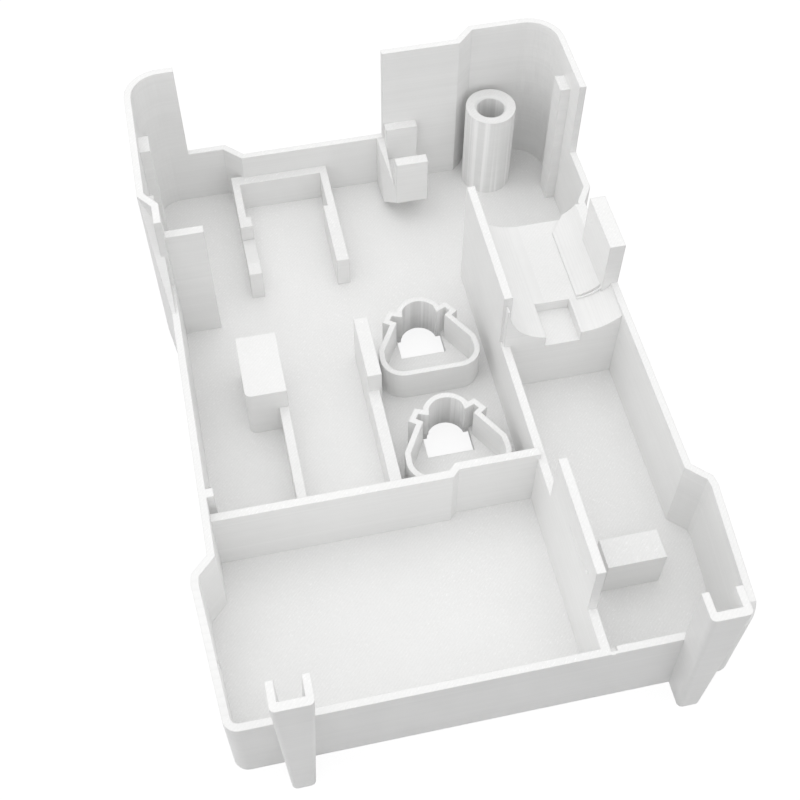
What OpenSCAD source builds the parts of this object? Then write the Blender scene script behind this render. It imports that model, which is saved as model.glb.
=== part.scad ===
// Tray insert for a tool case, printed in one piece.
// X runs along the front wall, Y runs back from the cross wall, Z is up.
// The layout origin is the front face of the cross wall at floor level.

/* [Overall] */
// width over the two front bulges
overall_width = 149.6; // [145:0.2:157]
// height from the lower edge of the outer wall to the tall back corners
overall_height = 65.5; // [62:0.1:72]

/* [Tray] */
// front wall outer face to the cross wall
front_depth = 60.8; // [56:0.2:66]
// cross wall to the outer face of the back wall
back_depth = 145.2; // [141:0.2:151]
// thickness of the outer wall
wall = 2.2; // [1.6:0.1:2.8]
// thickness of the floor plate
floor_t = 2.2; // [1.6:0.1:3.2]
// drop of the outer wall below the floor's upper face
skirt_drop = 6.8; // [5:0.1:9]
// outside radius of the two front corners
front_r = 4.2; // [3.2:0.1:6]
// outside radius of the two back corners
back_r = 12; // [8:0.5:14]

/* [Side bulges] */
// how far the front part of each side stands out
front_bulge = 5.4; // [3:0.1:7]
// how much of that is lost again at the front corner
front_taper = 2.8; // [1:0.1:2.9]
// distance from the cross wall forward to the start of the bulge
bulge_start = 12.4; // [9:0.2:16]
// distance from the back wall forward to the rear side bulges
rear_start = 49; // [44:0.5:52]
// how far the rear part of each side stands out
rear_bulge = 3.8; // [2.6:0.1:5]
// how far the two back bays stand out behind the back wall
bay_out = 5.7; // [4:0.1:7]
// inner end of the left back bay, from the left wall
bay_left = 26.1; // [25:0.2:28]
// inner end of the right back bay, from the right wall
bay_right = 26.5; // [25:0.2:29]

/* [Rim heights] */
// side walls
side_h = 29.9; // [27.5:0.1:34]
// front wall
front_h = 23.5; // [20:0.1:26]
// low middle part of the back wall
back_h = 21.5; // [18:0.1:26]
// width of the small gap in the front rim beside the long wall
rim_gap = 1.8; // [0.8:0.1:3]
// length of the tall left corner along the back wall
tall_left = 13; // [10:0.5:18]
// left edge of the tall right corner, from the left wall
tall_right = 81.1; // [78.5:0.2:90]
// front end of the tall left wall, from the back wall
tall_left_run = 61.2; // [57:0.5:66]
// front end of the tall right wall, from the back wall
tall_right_run = 31; // [26:0.5:36]
// length of the sloping web under the tall left wall
web_run = 22.8; // [18:0.5:28]

/* [Dividers] */
// thickness of the cross wall
cross_t = 2.6; // [2:0.1:3.4]
// height of the cross wall
cross_h = 25.2; // [22:0.1:27]
// where the cross wall steps back, from the left wall
cross_jog = 72.3; // [68:0.5:76]
// size of that step
jog_step = 2.2; // [1.2:0.1:3]
// thickness of the long wall
long_t = 2.65; // [2:0.05:3.4]
// left face of the long wall, from the left wall
long_x = 98.3; // [97:0.1:101]
// rear end of the long wall behind the cross wall
long_end = 93; // [92:0.5:97]
// height of the two raised parts of the long wall
long_high = 43.7; // [38:0.2:48]
// height of its low middle part
long_low = 22.8; // [20:0.1:25]
// front end of the rear raised part
rear_part = 46.2; // [45.2:0.2:56]
// rear end of the front raised part, in front of the cross wall
front_part = 10.8; // [6:0.2:16]
// front end of the front raised part, in front of the cross wall
front_part_end = 46.4; // [40:0.2:50]
// height of the low ribs and pocket rims
low_h = 12.2; // [10:0.1:15]

/* [Supports] */
// depth of the two support blocks, front to back
block_d = 23.1; // [18:0.5:27]
// front face of the two support blocks behind the cross wall
block_y = 43.5; // [40:0.2:45]
// height of the two support blocks
block_h = 20.1; // [17:0.1:24]
// width of the left support block
block_w = 12.85; // [10:0.05:14]
// right face of the left support block, from the left wall
block_x = 30.5; // [28:0.1:33]
// width of the rib in front of the left support block
rib_w = 2.95; // [2:0.05:4]
// width of the middle support block
bar_w = 4.5; // [4:0.1:6]
// left face of the middle support block, from the left wall
bar_x = 55.7; // [50:0.1:56.5]
// height of the fin on the left wall
fin_h = 47.7; // [40:0.2:52]
// reach of the fin from the left wall's outer face
fin_reach = 14; // [10:0.2:18]
// thickness of the fin
fin_t = 2.9; // [2:0.1:4]
// front face of the fin, from the back wall
fin_y = 57.5; // [52:0.5:60]
// height of the two ribs on the tall side walls
side_rib_h = 51; // [44:0.5:53]
// width of those ribs
side_rib_w = 7.1; // [5:0.1:9]
// how far they stand in from the wall
side_rib_in = 3.3; // [2:0.1:5]
// front face of those ribs, from the back wall
side_rib_y = 23; // [20:0.5:28]

/* [Fork] */
// width over the two legs
fork_w = 33.9; // [30:0.1:36]
// length of the fork, from the back wall's outer face
fork_len = 47.2; // [43:0.2:52]
// thickness of the legs
fork_t = 2.65; // [2:0.05:3.6]
// thickness of the leg ends
fork_end_t = 4.2; // [3.8:0.1:5.5]
// lowest point of the saddle in the left leg
fork_dip = 5.6; // [3:0.1:8]

/* [Pockets] */
// centre of the two shaped pockets, from the left wall
pocket_x = 78.15; // [77.6:0.05:79]
// front of the rear pocket behind the cross wall
pocket_y = 46.85; // [46:0.05:50]
// distance between the two pockets
pocket_pitch = 39.3; // [37.5:0.1:40]
// thickness of the pocket rim
pocket_t = 1.8; // [1.4:0.1:2.2]
// half width of the pocket
pocket_half = 16.3; // [14.5:0.1:16.6]
// outside radius of the round head
head_r = 7.9; // [7:0.1:8.6]
// half width of the hole through the floor
hole_half = 7.5; // [5:0.1:8]
// front edge of the hole behind the pocket front
hole_y = 15.4; // [13:0.1:18]

/* [Post] */
// outside diameter of the round post
post_d = 17.4; // [15:0.1:20]
// diameter of the bore in the post
post_bore = 9.6; // [6:0.1:11]
// height of the post
post_h = 33.6; // [28:0.1:40]
// depth of the bore
bore_depth = 30; // [20:0.5:33]
// chamfer round the mouth of the bore
bore_lip = 0.8; // [0.4:0.1:1.2]
// post centre in front of the back wall's outer face
post_y = 7.3; // [6.6:0.1:12]
// post centre, from the outer face of the right wall
post_x = 20.3; // [17.5:0.1:23]

/* [Back bracket] */
// width of the bracket
bracket_w = 11; // [8:0.1:12.5]
// reach of the bracket from the back wall's outer face
bracket_reach = 23.2; // [19:0.1:27]
// height of the two upright teeth
tooth_h = 27.9; // [23.5:0.1:33]
// thickness of the teeth
tooth_t = 3.6; // [2.4:0.1:4.6]
// height of the arm between the teeth
arm_h = 14.2; // [12.5:0.1:17]
// underside of the arm at its front end
arm_z = 9.7; // [6:0.1:10.5]
// how far the cheek stands out to the left of the arm, at the back wall
cheek_out = 2.7; // [1:0.1:3.6]
// length of the cheek's foot, from the back wall's inner face
cheek_run = 12.7; // [8:0.1:15]

/* [Trough] */
// front face of the trough behind the cross wall
trough_y = 43.8; // [40:0.2:46]
// length of the trough
trough_len = 47; // [44:0.5:50]
// radius of the trough sides
trough_r = 16.3; // [15.9:0.1:17.5]
// height of the trough bottom
trough_z = 23.6; // [20.5:0.1:25]
// tighter radius of the right side at the back
seat_r = 12.7; // [12.4:0.1:14.5]
// start of the raised seat, right of the middle of the side curve
seat_in = 1.8; // [0.6:0.1:3]
// length of the notch in the front of the trough
notch_len = 13.6; // [8:0.2:20]
// width of the notch
notch_w = 11.5; // [7:0.1:14]
// depth of the notch
notch_deep = 3.9; // [2:0.1:6]
// width of the block on the right wall
cheek_w = 4.9; // [3.4:0.1:6]
// length of that block
cheek_len = 21; // [15:0.5:26]
// height of that block
cheek_h = 47.3; // [40:0.2:54]

/* [Front bin] */
// width of the low step in the right front bin
step_w = 17.6; // [12:0.2:19]
// depth of that step, front to back
step_d = 9.2; // [6:0.2:14]
// height of that step
step_h = 15; // [10:0.2:19]

/* [Front channels] */
// height of the two channels on the front wall, over the floor
channel_h = 52.3; // [40:0.1:56]
// width of each channel at the top
channel_w = 11.1; // [10.4:0.1:13.5]
// how much narrower a channel is at the bottom
channel_taper = 4.4; // [1:0.1:4.6]
// how far the channels stand out from the front wall
channel_out = 7.9; // [6:0.1:10]
// thickness of the two sides of a channel
channel_t = 2.1; // [1.7:0.1:2.4]
// thickness of its front
channel_front_t = 2.5; // [1.8:0.1:3]
// outside radius of its two front corners
channel_r = 1.5; // [0.6:0.1:1.8]
// how far the foot of each channel is set outward
channel_splay = 0.6; // [0:0.1:1.2]
// left face of the left channel, from the left wall
channel_x = 10.3; // [8:0.1:16]
// left face of the right channel, from the left wall
channel_x2 = 119.6; // [112:0.1:122]

/* [Hidden] */
eps = 0.01;
bite = 0.8;
// width over the straight side walls
tray_width = overall_width - 2 * front_bulge;
// height of the two tall back corners over the floor
tall_h = overall_height - skirt_drop;
// straight side wall faces: left outer, left inner, right inner, right outer
xl = -3.3;
xli = xl + wall;
xr = xl + tray_width;
xri = xr - wall;
yf = -front_depth;
yb = back_depth;
ybi = yb - wall;
arc_n = 10;
rear_y = yb - rear_start;
// x of the long wall, of the pockets and of the fork
xw = xl + long_x;
xp = xl + pocket_x;
fork_x = 22.95;
// mid line of the bin to the right of the long wall
bin_l = xw + long_t;
bin_m = (bin_l + xri) / 2;
// where the raised end of the right side wall starts, behind the right channel
raise_x = xri - 3;
// overall size, used only to centre the tray over the origin
x_mid = (xl + xr) / 2;
y_mid = (yf - channel_out + yb + bay_out) / 2;

// points on an arc, both ends included
function arc(cx, cy, r, a0, a1, n) =
    [for (i = [0:n]) let (a = a0 + (a1 - a0) * i / n) [cx + r * cos(a), cy + r * sin(a)]];

// edge normal that points into a counter-clockwise outline
function into(a, b) = let (d = b - a) [-d[1], d[0]] / norm(d);

// outline moved inward by t
function inset(p, t) = [for (i = [0:len(p) - 1])
    let (a = p[(i + len(p) - 1) % len(p)], b = p[i], c = p[(i + 1) % len(p)],
         m = into(a, b), n = into(b, c))
    b + t * (m + n) / (1 + m * n)];

// outer outline of the tray, counter-clockwise from the front left corner
x_fl = xl - front_bulge + front_taper;
x_fr = xr + front_bulge - front_taper;
outline = concat(
    arc(x_fl + front_r, yf + front_r, front_r, 180, 270, arc_n),
    arc(x_fr - front_r, yf + front_r, front_r, 270, 360, arc_n),
    [[xr + front_bulge, -bulge_start - front_bulge - 2.6],
     [xr + front_bulge - 0.5, -bulge_start - front_bulge + 0.5],
     [xr, -bulge_start],
     [xr, rear_y - 4.9],
     [xr + rear_bulge, rear_y + 1.3]],
    arc(xr + rear_bulge - back_r, yb + bay_out - back_r, back_r, 0, 90, arc_n),
    [[xr - bay_right, yb + bay_out],
     [xr - bay_right - bay_out, yb],
     [xl + bay_left + bay_out, yb],
     [xl + bay_left, yb + bay_out]],
    arc(xl - rear_bulge + back_r, yb + bay_out - back_r, back_r, 90, 180, arc_n),
    [[xl - rear_bulge, rear_y - 0.3],
     [xl, rear_y - 5.2],
     [xl, -bulge_start],
     [xl - front_bulge + 0.5, -bulge_start - front_bulge + 0.5],
     [xl - front_bulge, -bulge_start - front_bulge - 2.6]]);

module box(x0, x1, y0, y1, z0, z1) {
    translate([x0, y0, z0]) cube([x1 - x0, y1 - y0, z1 - z0]);
}

// solid with its side view given in y and z, from x0 to x1
module side_view(x0, x1, pts) {
    translate([x0, 0, 0]) rotate([90, 0, 90]) linear_extrude(x1 - x0) polygon(pts);
}

// solid with its front view given in x and z, from y0 back to y1
module front_view(y0, y1, pts) {
    translate([0, y1, 0]) rotate([90, 0, 0]) linear_extrude(y1 - y0) polygon(pts);
}

// solid with its plan given in x and y
module plan(z0, z1, pts) {
    translate([0, 0, z0]) linear_extrude(z1 - z0) polygon(pts);
}

// outer wall between two heights, kept only inside the given box in plan
module wall_part(x0, x1, y0, y1, z0, z1) {
    translate([0, 0, z0]) linear_extrude(z1 - z0) intersection() {
        difference() {
            polygon(outline);
            polygon(inset(outline, wall));
        }
        translate([x0, y0]) square([x1 - x0, y1 - y0]);
    }
}

module outer_wall() {
    far = 200;
    // low part, as high as the front wall
    wall_part(-far, far, -far, far + far, -skirt_drop, min(front_h, back_h));
    wall_part(-far, far, -far, 0, min(front_h, back_h) - bite, front_h);
    // side walls; the left one falls away toward the front corner
    side_z = min(front_h, back_h) - bite;
    difference() {
        wall_part(-far, xli + 2, yf + front_r, yb - bite, side_z, side_h);
        side_view(-far / 2, xl + 20, [[yf - 1, front_h], [yf + front_r, front_h],
            [-bulge_start - front_bulge, side_h + eps], [yf - 1, side_h + eps]]);
    }
    difference() {
        wall_part(raise_x, far, yf, yb - bite, side_z, side_h);
        side_view(xri - 6, far, [[yf - 1, front_h], [yf, front_h],
            [yf + front_r, side_h + eps], [yf - 1, side_h + eps]]);
    }
    // tall back corners
    wall_part(-far, xl + tall_left, yb - tall_left_run, far + far, back_h - bite, tall_h);
    wall_part(xl + tall_right, far, yb - tall_right_run, far + far, back_h - bite, tall_h);
    // sloping web outside the front end of the tall left wall
    intersection() {
        plan(-skirt_drop, tall_h, [[xl - rear_bulge, rear_y - 0.3],
            [xl, yb - tall_left_run - web_run / 2],
            [xl + 1.2, yb - tall_left_run - web_run / 2], [xl + 1.2, rear_y - 0.3]]);
        side_view(xl - 10, xl + 10, [[rear_y, -skirt_drop], [rear_y, tall_h],
            [yb - tall_left_run - web_run / 2, side_h],
            [yb - tall_left_run - web_run / 2, -skirt_drop]]);
    }
}

module cross_wall() {
    jx = xl + cross_jog;
    s = jog_step;
    plan(-bite, cross_h, [[xl + wall / 2, 0], [jx, 0], [jx + s, s], [xw + bite, s],
        [xw + bite, s + cross_t], [jx + s * 0.7, s + cross_t], [jx - s * 0.3, cross_t],
        [xl + wall / 2, cross_t]]);
}

module long_wall() {
    side_view(xw, xw + long_t, [[yf + wall / 2, -bite], [long_end, -bite],
        [long_end, long_high], [rear_part, long_high], [rear_part, long_low],
        [-front_part, long_low], [-front_part, long_high],
        [-front_part_end, long_high], [-front_part_end - 0.6, front_h],
        [yf + wall / 2, front_h]]);
}

module supports() {
    bx = xl + block_x;
    mx = xl + bar_x;
    // left block with a rounded front left edge, and the rib in front of it
    plan(-bite, block_h, concat(
        arc(bx - block_w + 2, block_y + 2, 2, 180, 270, 6),
        [[bx, block_y], [bx, block_y + block_d], [bx - block_w, block_y + block_d]]));
    box(bx - rib_w, bx, cross_t - bite, block_y + bite, -bite, low_h - 0.4);
    // middle block and its rib
    box(mx, mx + bar_w, block_y, block_y + block_d, -bite, block_h);
    box(mx, mx + bar_w - 0.9, cross_t - bite, block_y + bite, -bite, low_h);
    // fin on the left wall
    box(xl + wall / 2, xl + fin_reach, yb - fin_y, yb - fin_y + fin_t, -bite, fin_h);
    // short rib where the cross wall meets the left wall
    box(xl + wall / 2, xli + 2.1, cross_t + 2.8, cross_t + 5.6, -bite, side_h);
    // one rib on each tall side wall
    y0 = yb - side_rib_y;
    box(xl - rear_bulge + wall / 2, xl - rear_bulge + wall + side_rib_in,
        y0, y0 + side_rib_w, -bite, side_rib_h);
    box(xr + rear_bulge - wall - side_rib_in, xr + rear_bulge - wall / 2,
        y0, y0 + side_rib_w, -bite, side_rib_h);
}

module fork() {
    x0 = fork_x;
    x1 = fork_x + fork_w;
    ye = yb - fork_len;
    yw = ybi - 3.3;
    yh = ye + 21.5;
    // web on the back wall
    box(x0, x1, yw, ybi + bite, -bite, low_h);
    // left leg with its hook, then the end with a dip in its upper edge
    box(x0, x0 + fork_t, yh, yw + bite, -bite, low_h);
    box(x0, x0 + fork_end_t, yh, yh + 4.6, -bite, low_h);
    side_view(x0, x0 + fork_end_t, [[ye, -bite], [yh + eps, -bite],
        [yh + eps, fork_dip], [ye + 5, low_h], [ye, low_h]]);
    // right leg, thinner at the back
    box(x1 - fork_t, x1, ye + 25.7, yw + bite, -bite, low_h);
    box(x1 - fork_end_t, x1, ye, ye + 25.8, -bite, low_h);
}

// plan of a pocket: wide front with round corners, two ears, round head
corner_r = 7.5;
ch = pocket_half - corner_r;
head_y = 22.6;
function pocket_side(s) = [[s * (pocket_half - 0.3), 11.4], [s * 10.4, 20.8],
    [s * 12.5, 22.3], [s * 9.6, 26.6], [s * 7.1, 25.6]];
pocket_pts = concat(
    arc(-ch, corner_r, corner_r, 180, 270, 8),
    arc(ch, corner_r, corner_r, 270, 360, 8),
    pocket_side(1),
    arc(0, head_y, head_r, 28, 152, 14),
    [for (i = [4:-1:0]) pocket_side(-1)[i]]);

module pocket_rim() {
    difference() {
        plan(-bite, low_h, pocket_pts);
        plan(-1, low_h + 1, inset(pocket_pts, pocket_t));
    }
}

// hole through the floor inside a pocket
module pocket_hole() {
    translate([-hole_half, hole_y, -floor_t - 1]) cube([2 * hole_half, head_y - hole_y + 1.2, floor_t + 2]);
    translate([0, head_y, -floor_t - 1]) cylinder(r = head_r - pocket_t, h = floor_t + 2, $fn = 48);
}

module post() {
    translate([xr - post_x, yb - post_y, -bite]) cylinder(d = post_d, h = post_h + bite, $fn = 64);
}

module post_cut() {
    translate([xr - post_x, yb - post_y, post_h - bore_depth]) cylinder(d = post_bore, h = bore_depth + 1, $fn = 48);
    translate([xr - post_x, yb - post_y, post_h - bore_lip])
        cylinder(d1 = post_bore, d2 = post_bore + 2 * bore_lip + 0.02, h = bore_lip + eps, $fn = 48);
}

module bracket() {
    x0 = xl + tall_right + 0.6;
    yt = yb - bracket_reach;
    arm = [[ybi + bite, 0], [yt + 1.4, arm_z - 0.6], [yt, arm_z], [yt, tooth_h],
        [yt + tooth_t, tooth_h], [yt + tooth_t, arm_h], [ybi - tooth_t, arm_h],
        [ybi - tooth_t, tooth_h], [ybi + bite, tooth_h]];
    side_view(x0, x0 + bracket_w, arm);
    // cheek on the left of the arm, from the back wall to the front tooth
    hull() {
        side_view(x0 - cheek_out, x0 - cheek_out + eps, [[ybi + bite, 0], [ybi + bite, back_h - eps],
            [ybi, back_h - eps], [ybi - cheek_run, 2.2], [ybi, 0]]);
        side_view(x0, x0 + eps, [[ybi + bite, 0], [yt + 0.1, arm_z], [yt + tooth_t, arm_h - eps],
            [ybi + bite, back_h - eps]]);
    }
}

module trough() {
    y0 = trough_y;
    y1 = trough_y + trough_len;
    zc = trough_z + trough_r;
    xa = bin_m - 2.7;
    xb = bin_m + 5.9;
    step_y = y0 + 13;
    difference() {
        box(xw + bite, xr - wall / 2, y0, y1, -bite, zc);
        for (x = [xa, xb]) translate([x, y0 - 1, zc]) rotate([-90, 0, 0])
            cylinder(r = trough_r, h = (x == xa ? trough_len : 13) + 2, $fn = 96);
        translate([xb, step_y, trough_z + 0.5 + seat_r]) rotate([-90, 0, 0])
            cylinder(r = seat_r, h = trough_len, $fn = 96);
        box(xa, xb, y0 - 1, y1 + 1, trough_z, zc + 1);
        // flat bottom beside the raised seat, wider at its rear end
        plan(trough_z, zc + 1, [[xa, step_y], [xb + seat_in, step_y], [xb + seat_in, y1 - 5.5],
            [xb + seat_in + 5.6, y1 + 1], [xa, y1 + 1]]);
        box(bin_l + 2, xri - 2.5, y0 - 1, y1 + 1, zc - 3.2, zc + 1);
        box(bin_l, bin_m, y0 - 1, y1 + 1, zc - 3.2, zc + 1);
        // everything over the side wall's height beside the right wall
        box(bin_m, xr + 1, y0 - 1, y1 + 1, side_h, zc + side_h);
        // notch in the front edge
        box(bin_m - 6.25, bin_m - 6.25 + notch_w, y0 - 1, y0 + notch_len, trough_z - notch_deep, zc);
    }
    // block on the right wall
    box(xr - cheek_w, xr + 0.05, y0 + 12.3, y0 + 12.3 + cheek_len, trough_z - 3, cheek_h);
}

module front_step() {
    x0 = bin_l + 9.1;
    box(x0, x0 + step_w, -32.5, -32.5 + step_d, -bite, step_h);
}

// plan of a channel without its slot, rounded at the front
function channel_plan(x, w) = let (y0 = yf - channel_out, r = channel_r) concat(
    arc(x + r, y0 + r, r, 180, 270, 5),
    arc(x + w - r, y0 + r, r, 270, 360, 5),
    [[x + w, yf + 0.2], [x, yf + 0.2]]);

// channel on the front wall, open at the top and toward the wall, narrower at the foot
module front_channel(x, splay) {
    w = channel_w;
    t = channel_t;
    k = channel_taper / 2;
    xf = x + k + splay;
    wf = w - channel_taper;
    zb = -skirt_drop;
    difference() {
        hull() {
            plan(zb, zb + eps, channel_plan(xf, wf));
            plan(channel_h - eps, channel_h, channel_plan(x, w));
        }
        front_view(yf - channel_out + channel_front_t, yf + 1, [[x + t, channel_h + eps],
            [xf + t, zb - eps], [xf + wf - t, zb - eps], [x + w - t, channel_h + eps]]);
    }
}

module insert_tray() {
    color([0.93, 0.93, 0.92]) translate([-x_mid, -y_mid, skirt_drop]) difference() {
        union() {
            outer_wall();
            plan(-floor_t, 0, outline);
            cross_wall();
            long_wall();
            supports();
            fork();
            translate([xp, pocket_y, 0]) pocket_rim();
            translate([xp, pocket_y - pocket_pitch, 0]) pocket_rim();
            post();
            bracket();
            trough();
            front_step();
            front_channel(xl + channel_x, -channel_splay);
            front_channel(xl + channel_x2, channel_splay);
        }
        for (k = [0, 1]) translate([xp, pocket_y - k * pocket_pitch, 0]) pocket_hole();
        box(bin_l, bin_l + rim_gap, yf + wall / 2 - 0.2, yf + wall + 0.5, front_h - 1.3, front_h + 1);
        post_cut();
    }
}

insert_tray();
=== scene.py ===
import math

import bmesh
import bpy
from mathutils import Matrix, Vector


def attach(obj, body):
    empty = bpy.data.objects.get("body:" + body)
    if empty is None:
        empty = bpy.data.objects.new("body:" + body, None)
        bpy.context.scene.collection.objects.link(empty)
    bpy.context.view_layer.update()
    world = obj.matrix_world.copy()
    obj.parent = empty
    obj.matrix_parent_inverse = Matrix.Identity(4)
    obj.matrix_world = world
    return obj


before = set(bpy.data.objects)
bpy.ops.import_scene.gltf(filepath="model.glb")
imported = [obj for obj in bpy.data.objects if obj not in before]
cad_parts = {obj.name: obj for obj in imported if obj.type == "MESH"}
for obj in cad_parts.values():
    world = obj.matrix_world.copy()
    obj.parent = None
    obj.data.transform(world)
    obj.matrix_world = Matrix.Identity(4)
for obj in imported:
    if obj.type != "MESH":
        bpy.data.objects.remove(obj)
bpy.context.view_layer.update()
scene = bpy.context.scene
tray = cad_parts["insert_tray"]

# layout millimetres (origin at the cross wall's front face, floor level) to the row frame
SHIFT = Vector((-66.1, -41.1, 6.8))
MM = 0.001


def at(x, y, z):
    return (Vector((x, y, z)) + SHIFT) * MM


# materials
RIDGE = 0.4  # height of a visible ridge on upright faces and slopes, mm
SLANT = 0.9  # width of a visible slanting line on level faces, mm
# how much a face's normal points up or down, 0 to 1
LEVEL_UP = 0.9999  # level faces are over this
GENTLE_UP = 0.72  # gentle slopes are over this
UPRIGHT_UP = 0.3  # walls are under this
# scales of the noise along x, y and z, per metre
MOTTLE_SCALE = (45, 45, 45)
BAND_SCALE = (9, 9, 1100)  # uneven layers
WIDE_BAND_SCALE = (3, 3, 260)  # groups of layers
STROKE_SCALE = (2600, 850, 300)  # short slanting strokes on level faces
STREAK_SCALE = (420, 420, 6)  # painted reflection streaks on round forms, upright
SPREAD_SCALE = (28, 28, 28)  # where the painted glints are thicker
RIPPLE_SCALE = (160, 160, 60)  # uneven gloss
EDGE_RADIUS = 0.35 * MM  # edges look rounded by this much
RIDGE_DEPTH = 0.12 * MM
DARKEST = 0.92  # share of the colour left in the darkest lines
# the colour that the painted glints and reflection streaks are mixed toward
WHITE = (1, 1, 1, 1)
# centre in plan and reach of the round upright forms, layout mm: the post, the pockets' heads
ROUND_FORMS = (((115.2, 137.9), 9.4), ((74.85, 69.45), 8.2), ((74.85, 30.15), 8.2))


def node(tree, kind, **values):
    made = tree.nodes.new(kind)
    for key, value in values.items():
        setattr(made, key, value)
    return made


def math_node(tree, op, a, b=0.0):
    made = node(tree, "ShaderNodeMath", operation=op)
    for slot, value in ((0, a), (1, b)):
        if isinstance(value, (int, float)):
            made.inputs[slot].default_value = value
        else:
            tree.links.new(value, made.inputs[slot])
    return made.outputs[0]


def noise(tree, vector, detail=2.0, rough=0.5):
    made = node(tree, "ShaderNodeTexNoise")
    made.inputs["Scale"].default_value = 1.0
    made.inputs["Detail"].default_value = detail
    made.inputs["Roughness"].default_value = rough
    tree.links.new(vector, made.inputs["Vector"])
    return made.outputs["Fac"]


def mapped(tree, vector, scale=(1, 1, 1), turn=0.0):
    made = node(tree, "ShaderNodeMapping")
    made.inputs["Scale"].default_value = scale
    made.inputs["Rotation"].default_value = (0, 0, math.radians(turn))
    tree.links.new(vector, made.inputs["Vector"])
    return made.outputs[0]


def wave(tree, vector, axis, period, profile="SIN", bend=0.0):
    """Bands across one axis, one for each period in millimetres."""
    made = node(tree, "ShaderNodeTexWave", wave_type="BANDS", bands_direction=axis, wave_profile=profile)
    # Blender's bands repeat every two pi over twenty at scale 1
    made.inputs["Scale"].default_value = 2 * math.pi / (20 * period * MM)
    made.inputs["Distortion"].default_value = bend
    made.inputs["Detail"].default_value = 1.0
    made.inputs["Detail Scale"].default_value = 3.0
    tree.links.new(vector, made.inputs["Vector"])
    return made.outputs["Fac"]


def ranged(tree, value, low, high, to_low=0.0, to_high=1.0):
    made = node(tree, "ShaderNodeMapRange")
    for key, number in (("From Min", low), ("From Max", high), ("To Min", to_low), ("To Max", to_high)):
        made.inputs[key].default_value = number
    tree.links.new(value, made.inputs["Value"])
    return made.outputs[0]


def chosen(tree, pick, no, yes):
    """The first value where pick is 0, the second where it is 1."""
    made = node(tree, "ShaderNodeMix", data_type="FLOAT")
    for slot, value in ((0, pick), (2, no), (3, yes)):
        tree.links.new(value, made.inputs[slot])
    return made.outputs[0]


def total(tree, parts):
    """Weighted sum of values."""
    out = None
    for value, weight in parts:
        term = math_node(tree, "MULTIPLY", value, weight)
        out = term if out is None else math_node(tree, "ADD", out, term)
    return out


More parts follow.
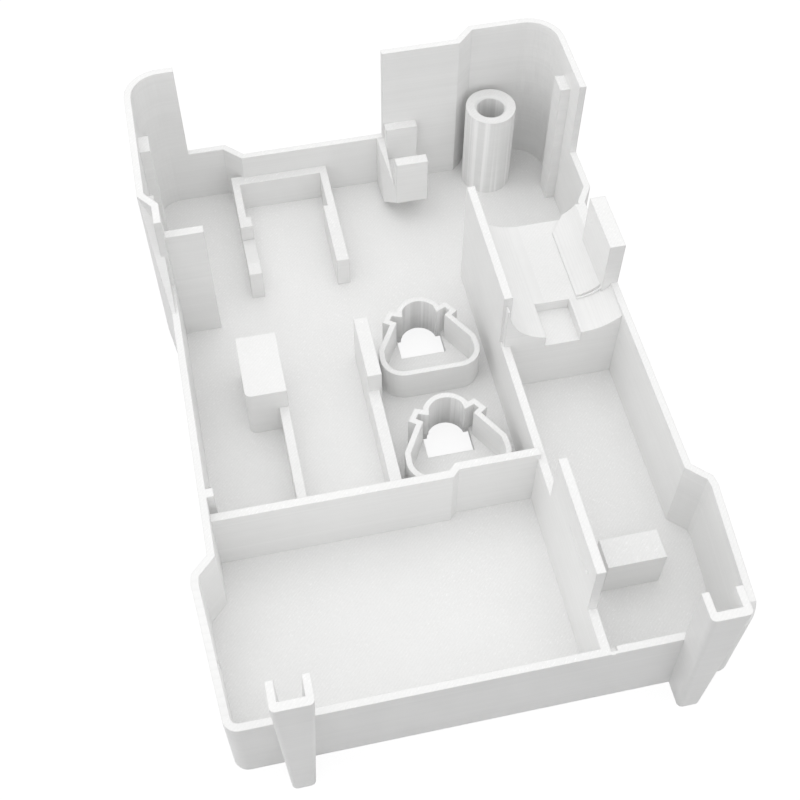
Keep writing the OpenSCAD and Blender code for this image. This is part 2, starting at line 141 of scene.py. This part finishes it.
def printed_plastic(name, colour):
    """Printed filament: layers on upright faces, slanting lines on level ones, steps on slopes."""
    mat = bpy.data.materials.new(name)
    mat.use_nodes = True
    t = mat.node_tree
    bsdf = t.nodes["Principled BSDF"]
    bsdf.inputs["Specular IOR Level"].default_value = 0.45
    bsdf.inputs["Anisotropic"].default_value = 0.6
    place = node(t, "ShaderNodeTexCoord").outputs["Object"]
    facing = node(t, "ShaderNodeSeparateXYZ")
    true_normal = node(t, "ShaderNodeNewGeometry").outputs["True Normal"]
    t.links.new(true_normal, facing.inputs[0])
    up = math_node(t, "ABSOLUTE", facing.outputs["Z"])
    level = math_node(t, "GREATER_THAN", up, LEVEL_UP)
    gentle = math_node(t, "GREATER_THAN", up, GENTLE_UP)

    mottle = noise(t, mapped(t, place, MOTTLE_SCALE), 3.0, 0.55)
    # upright faces: fine ridges, and slow uneven bands that run round the object
    ridges = wave(t, place, "Z", RIDGE)
    bands = noise(t, mapped(t, place, BAND_SCALE), 3.0, 0.65)
    wide_bands = noise(t, mapped(t, place, WIDE_BAND_SCALE), 2.0)
    upright = total(t, ((ridges, 0.15), (bands, 0.55), (wide_bands, 0.3)))
    # level faces: slanting lines broken up into short strokes, both ways
    one, other = mapped(t, place, turn=45), mapped(t, place, turn=-45)
    lines = wave(t, one, "X", SLANT, bend=0.8)
    strokes = noise(t, mapped(t, one, STROKE_SCALE), 2.0, 0.65)
    crossed = noise(t, mapped(t, other, STROKE_SCALE), 2.0, 0.65)
    flat = total(t, ((lines, 0.12), (strokes, 0.56), (crossed, 0.32)))
    # gentle slopes: the edges of the layers show as contour lines
    steps = wave(t, place, "Z", RIDGE, "SAW")
    slope = total(t, ((steps, 0.16), (upright, 0.62), (mottle, 0.22)))
    height = chosen(t, level, chosen(t, gentle, upright, slope), flat)

    soft = node(t, "ShaderNodeBevel", samples=6)
    soft.inputs["Radius"].default_value = EDGE_RADIUS
    bump = node(t, "ShaderNodeBump")
    bump.inputs["Strength"].default_value = 0.5
    bump.inputs["Distance"].default_value = RIDGE_DEPTH
    t.links.new(soft.outputs[0], bump.inputs["Normal"])
    t.links.new(height, bump.inputs["Height"])
    t.links.new(bump.outputs[0], bsdf.inputs["Normal"])
    # highlights stretch across the layers
    along = node(t, "ShaderNodeVectorMath", operation="CROSS_PRODUCT")
    along.inputs[1].default_value = (0, 0.02, 1)
    t.links.new(true_normal, along.inputs[0])
    t.links.new(along.outputs[0], bsdf.inputs["Tangent"])

    tone = ranged(t, total(t, ((height, 0.72), (mottle, 0.28))), 0.3, 0.66)
    # painted reflections: the layers of a round form reflect in upright streaks, painted into the colour
    # as lighter and darker bands
    round_form = None
    for centre, radius in ROUND_FORMS:
        offset = node(t, "ShaderNodeVectorMath", operation="SUBTRACT")
        offset.inputs[1].default_value = at(*centre, 0)
        t.links.new(place, offset.inputs[0])
        in_plan = node(t, "ShaderNodeVectorMath", operation="LENGTH")
        t.links.new(mapped(t, offset.outputs[0], (1, 1, 0)), in_plan.inputs[0])
        near = math_node(t, "LESS_THAN", in_plan.outputs["Value"], radius * MM)
        round_form = near if round_form is None else math_node(t, "MAXIMUM", round_form, near)
    reflection_streak_noise = noise(t, mapped(t, place, STREAK_SCALE), 2.0, 0.7)
    painted_reflection_streaks = ranged(t, reflection_streak_noise, 0.36, 0.64, -0.55, 0.45)
    on_round = math_node(t, "MULTIPLY", round_form, math_node(t, "LESS_THAN", up, UPRIGHT_UP))
    tone = math_node(t, "ADD", tone, math_node(t, "MULTIPLY", painted_reflection_streaks, on_round))
    shade = node(t, "ShaderNodeValToRGB")
    shade.color_ramp.elements[0].color = (*[c * DARKEST for c in colour], 1)
    shade.color_ramp.elements[1].color = (*colour, 1)
    t.links.new(tone, shade.inputs[0])
    # painted glints: strokes on level faces painted toward white, as if they caught the light, thicker
    # in some places than in others
    spread = ranged(t, noise(t, mapped(t, place, SPREAD_SCALE), 2.0), 0.35, 0.65, 0.25, 1.0)
    strong = ranged(t, strokes, 0.6, 0.74)
    painted_glint = math_node(t, "MULTIPLY", strong, math_node(t, "MULTIPLY", spread, level))
    # painted reflection: the brightest upright streaks on round forms are painted toward white, like the
    # glints
    painted_reflection_light = math_node(t, "MULTIPLY", on_round, ranged(t, reflection_streak_noise, 0.5, 0.62, 0.0, 0.8))
    # the painted glints and painted reflections mix the colour toward white
    painted_highlight_mix = node(t, "ShaderNodeMix", data_type="RGBA")
    painted_highlight_mix.inputs[7].default_value = WHITE
    t.links.new(math_node(t, "MAXIMUM", painted_glint, painted_reflection_light), painted_highlight_mix.inputs[0])
    t.links.new(shade.outputs[0], painted_highlight_mix.inputs[6])
    t.links.new(painted_highlight_mix.outputs[2], bsdf.inputs["Base Color"])
    ripple = noise(t, mapped(t, place, RIPPLE_SCALE))
    t.links.new(ranged(t, ripple, 0.2, 0.8, 0.34, 0.52), bsdf.inputs["Roughness"])
    return mat


plastic = printed_plastic("printed_white", (0.9, 0.9, 0.895))
bead_plastic = printed_plastic("printed_bead", (0.95, 0.95, 0.945))
tray.data.materials.clear()
tray.data.materials.append(plastic)


# marks left by the printer


def settle(piece):
    piece.data.materials.append(bead_plastic)
    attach(piece, "root")


def strand(name, points, radius):
    """A thin string or bead of filament through points in layout millimetres, thinner at its ends."""
    data = bpy.data.curves.new(name, "CURVE")
    data.dimensions = "3D"
    data.bevel_depth = radius * MM
    data.bevel_resolution = 2
    data.use_fill_caps = True
    line = data.splines.new("POLY")
    line.points.add(len(points) - 1)
    for i, point in enumerate(points):
        line.points[i].co = (*at(*point), 1)
        line.points[i].radius = 0.55 + 0.45 * math.sin(math.pi * (i + 0.7) / (len(points) + 0.4))
    piece = bpy.data.objects.new(name, data)
    scene.collection.objects.link(piece)
    settle(piece)


def blob(name, place, size):
    """A drop of filament with an uneven surface, half sunk where it sticks; size in half widths."""
    mesh = bpy.data.meshes.new(name)
    bm = bmesh.new()
    bmesh.ops.create_icosphere(bm, subdivisions=3, radius=1.0)
    for v in bm.verts:
        swell = 1 + 0.18 * math.sin(3.1 * v.co.x + 1.7 * v.co.y) * math.cos(2.3 * v.co.z)
        v.co = Vector(c * swell * half * MM for c, half in zip(v.co, size))
    bm.to_mesh(mesh)
    bm.free()
    mesh.shade_smooth()
    piece = bpy.data.objects.new(name, mesh)
    piece.location = at(*place)
    scene.collection.objects.link(piece)
    settle(piece)


WALL_X = 94.97  # just off the left face of the long wall
strand("string_on_wall", [(WALL_X, y, z) for y, z in (
    (-26.2, 33.8), (-29.5, 32.5), (-34.2, 32.5), (-39.1, 34.2))], 0.13)
blob("blob_on_wall", (WALL_X, -41.4, 35.2), (0.3, 0.7, 0.5))
blob("blob_on_block", (130.6, 72.6, 41.7), (0.3, 0.5, 0.6))
blob("blob_on_rim", (98.0, -60.8, 23.4), (0.6, 0.25, 0.35))
strand("string_front_left", [
    (-5.5, -38.7, 23.3), (-5.2, -39.0, 21.0), (-4.9, -39.3, 19.0), (-4.6, -39.7, 16.9)], 0.1)
SEAM_X, SEAM_Y = 95.9, 46.15  # front end of the long wall's rear part
strand("seam_on_wall_end", [(SEAM_X, SEAM_Y, z) for z in range(22, 44, 3)], 0.14)
strand("string_behind_post", [
    (133.4, 148.6, 11.3), (134.6, 148.9, 10.2), (136.6, 147.4, 9.1)], 0.12)
SEAT_Y = 56.8  # front edge of the raised seat
strand("seat_bead", [(x, SEAT_Y, z) for x, z in (
    (122.8, 24.4), (125.1, 24.5), (128.0, 25.6), (130.3, 27.5), (132.3, 30.0), (133.7, 32.5))], 0.28)

# floor, light and camera


def seen_rays(tree):
    """1 for the rays that show the background: camera, glossy and transmission."""
    path = node(tree, "ShaderNodeLightPath")
    shown = math_node(
        tree, "MAXIMUM", path.outputs["Is Glossy Ray"], path.outputs["Is Transmission Ray"])
    return math_node(tree, "MAXIMUM", path.outputs["Is Camera Ray"], shown)


def shader(tree, kind, level, strength=None):
    """A plain grey shader."""
    made = node(tree, kind)
    made.inputs["Color"].default_value = (level, level, level, 1)
    if strength is not None:
        made.inputs["Strength"].default_value = strength
    return made.outputs[0]


def switched(tree, plain, shown, output):
    """Ends the tree with the first shader for light, and the second for the rays that are seen."""
    pick = node(tree, "ShaderNodeMixShader")
    for slot, value in ((0, seen_rays(tree)), (1, plain), (2, shown)):
        tree.links.new(value, pick.inputs[slot])
    tree.links.new(pick.outputs[0], node(tree, output).inputs[0])


FLOOR_SIZE = 8
FLOOR_GREY = 0.25  # the floor as light meets it
SHADOW_GREY = 0.14  # the part of the visible floor that takes shadow
FLOOR_GLOW = 0.9  # and the part that glows
bpy.ops.mesh.primitive_plane_add(size=FLOOR_SIZE, location=(0, 0, 0))
floor = bpy.context.object
floor.name = "floor"
floor_material = bpy.data.materials.new("floor_pale")
floor_material.use_nodes = True
floor_tree = floor_material.node_tree
floor_tree.nodes.clear()
shown_floor = node(floor_tree, "ShaderNodeAddShader")
floor_tree.links.new(
    shader(floor_tree, "ShaderNodeBsdfDiffuse", SHADOW_GREY), shown_floor.inputs[0])
floor_tree.links.new(
    shader(floor_tree, "ShaderNodeEmission", 1, FLOOR_GLOW), shown_floor.inputs[1])
plain_floor = shader(floor_tree, "ShaderNodeBsdfDiffuse", FLOOR_GREY)
switched(floor_tree, plain_floor, shown_floor.outputs[0], "ShaderNodeOutputMaterial")
floor.data.materials.append(floor_material)

WORLD_LIGHT = 0.93
world = bpy.data.worlds.new("studio")
scene.world = world
world.use_nodes = True
world_tree = world.node_tree
world_tree.nodes.clear()
world_light = shader(world_tree, "ShaderNodeBackground", 1, WORLD_LIGHT)
white_backdrop = shader(world_tree, "ShaderNodeBackground", 1, 1)
switched(world_tree, world_light, white_backdrop, "ShaderNodeOutputWorld")


def lamp(name, place, target, size, power):
    data = bpy.data.lights.new(name, "AREA")
    data.shape = "RECTANGLE"
    data.size, data.size_y = size
    data.energy = power
    made = bpy.data.objects.new(name, data)
    scene.collection.objects.link(made)
    made.location = place
    made.rotation_euler = (Vector(target) - Vector(place)).to_track_quat("-Z", "Y").to_euler()


lamp("top", (-0.1, 0.1, 1.0), (0, 0, 0), (0.9, 0.9), 1.5)
lamp("left", (-0.9, 0.1, 0.5), (0, 0, 0.02), (0.8, 0.8), 0.8)

# camera solved from the photograph: rotation vector from the row frame to right, down, forward
SENSOR, LENS = 36, 56.283  # mm
CAMERA_PLACE = (-0.052304, -0.217258, 0.341941)
turn = Vector((2.5326653, -0.2687097, 0.0886443))
rows = Matrix.Rotation(turn.length, 3, turn.normalized())
cam_data = bpy.data.cameras.new("camera")
cam_data.lens = LENS
cam_data.sensor_width = SENSOR
cam_data.clip_start = 0.01
cam_data.clip_end = 20
cam = bpy.data.objects.new("camera", cam_data)
scene.collection.objects.link(cam)
axes = Matrix((rows[0], -rows[1], -rows[2])).transposed().to_4x4()
cam.matrix_world = Matrix.Translation(CAMERA_PLACE) @ axes
scene.camera = cam

scene.view_settings.view_transform = "Standard"
